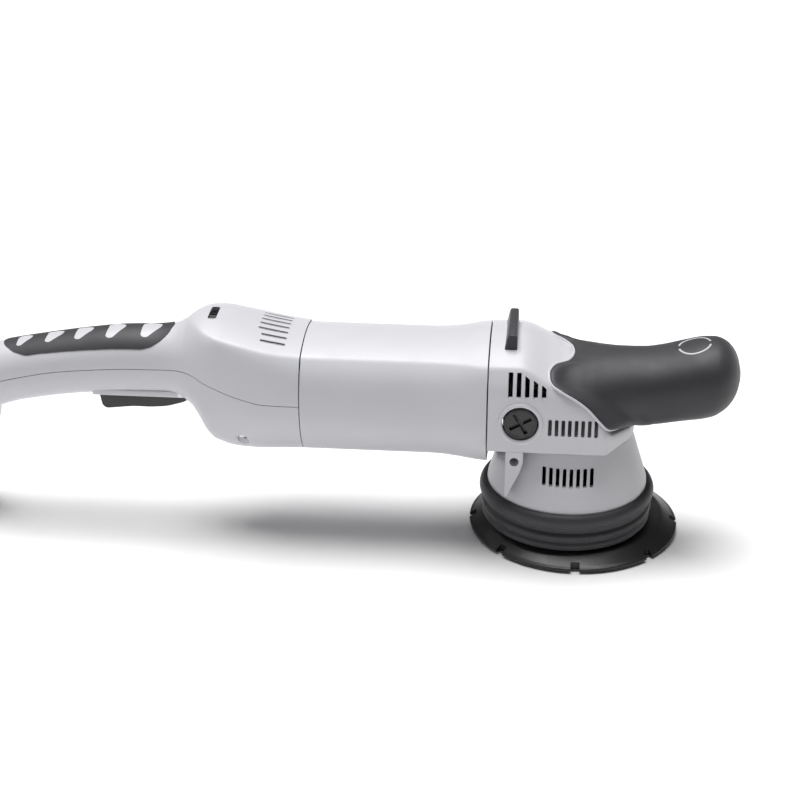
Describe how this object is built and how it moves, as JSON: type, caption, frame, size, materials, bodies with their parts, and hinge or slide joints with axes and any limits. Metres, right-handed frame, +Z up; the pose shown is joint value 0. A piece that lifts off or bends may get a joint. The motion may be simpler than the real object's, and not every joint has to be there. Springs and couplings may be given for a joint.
{
  "type": "dual action polisher",
  "caption": "Corded dual action polisher: barrel motor, crown gear and eccentric spindle under a round backing plate, rear handle with trigger, speed dial and front palm grip.",
  "frame": {"origin": "on the spindle axis, in the plane of the pad face (the hook sheet of the backing plate)", "axes": "+X along the barrel towards the palm grip, +Z up along the spindle, away from the pad face; +Y completes the right-handed frame"},
  "size_m": [0.49, 0.1249, 0.133],
  "materials": {
    "shell_plastic": "satin moulded plastic, light cool grey",
    "grip_rubber": "matt dark grey rubber",
    "black_plastic": "black, slightly glossy moulded plastic",
    "cast_alloy": "as cast",
    "steel": "machined or plated",
    "copper": "enamelled copper",
    "brass": "drawn brass",
    "carbon": "pressed carbon",
    "board": "green circuit board with parts",
    "filter_case": "moulded case",
    "switch_case": "moulded case",
    "hook_fabric": "hook side of a hook-and-loop sheet"
  },
  "bodies": {
    "housing": {"handle_upper_shell": "shell_plastic", "handle_lower_shell": "shell_plastic", "handle_grip": "grip_rubber", "motor_housing": "shell_plastic", "head_cover": "shell_plastic", "palm_grip_core": "black_plastic", "palm_grip_rubber": "grip_rubber", "bumper_strap": "grip_rubber", "side_plugs": "black_plastic", "gear_case": "cast_alloy", "gear_case_cap": "cast_alloy", "shroud": "shell_plastic", "rubber_skirt": "grip_rubber", "stator_core": "steel", "field_windings": "copper", "fan_baffle": "black_plastic", "brush_carrier": "black_plastic", "brush_holders": "brass", "carbon_brushes": "carbon", "brush_springs": "steel", "rear_motor_bearing": "steel", "front_motor_bearing": "steel", "spindle_upper_bearing": "steel", "spindle_lower_bearing": "steel", "speed_board": "board", "noise_filter": "filter_case", "switch_body": "switch_case", "trigger_pin": "steel", "cord_inlet": "black_plastic", "cord_clamp": "black_plastic", "handle_screws": "steel", "motor_screws": "steel", "cap_screws": "steel", "shroud_screws": "steel"},
    "armature": {"armature_shaft": "steel", "armature_core": "steel", "armature_windings": "copper", "commutator": "copper", "cooling_fan": "black_plastic", "pinion_gear": "steel"},
    "spindle": {"spindle_shaft": "steel", "crown_gear": "steel", "eccentric_hub": "cast_alloy", "counterweight": "steel", "pad_bearings": "steel", "bearing_circlip": "steel"},
    "pad": {"pad_spindle": "steel", "plate_insert": "steel", "backing_plate": "black_plastic", "hook_face": "hook_fabric", "pad_bolt": "steel"},
    "trigger": {"trigger_paddle": "black_plastic"},
    "plunger": {"switch_plunger": "black_plastic"},
    "dial": {"speed_dial": "black_plastic"}
  },
  "joints": [
    {"name": "armature_spin", "type": "hinge", "parent": "housing", "child": "armature", "pos_m": [-0.1, 0, 0.089], "axis": [1, 0, 0], "continuous": true},
    {"name": "spindle_spin", "type": "hinge", "parent": "housing", "child": "spindle", "pos_m": [0, 0, 0], "axis": [0, 0, 1], "continuous": true},
    {"name": "pad_spin", "type": "hinge", "parent": "spindle", "child": "pad", "pos_m": [0.0047, 0.00585, 0], "axis": [0, 0, 1], "continuous": true},
    {"name": "trigger_press", "type": "hinge", "parent": "housing", "child": "trigger", "pos_m": [-0.229, 0, 0.084], "axis": [0, 1, 0], "range_deg": [0, 6], "stiffness_Nm_per_rad": 1, "springref_deg": -5.73},
    {"name": "plunger_slide", "type": "slide", "parent": "housing", "child": "plunger", "axis": [0, 0, 1], "range_m": [0, 0.0036]},
    {"name": "dial_turn", "type": "hinge", "parent": "housing", "child": "dial", "pos_m": [-0.209, 0, 0.119], "axis": [1, 0, 0], "range_deg": [-135, 135]}
  ],
  "couplings": [
    {"joint": "spindle_spin", "follows": "armature_spin", "ratio": -0.25},
    {"joint": "plunger_slide", "follows": "trigger_press", "m_per_rad": 0.033}
  ]
}
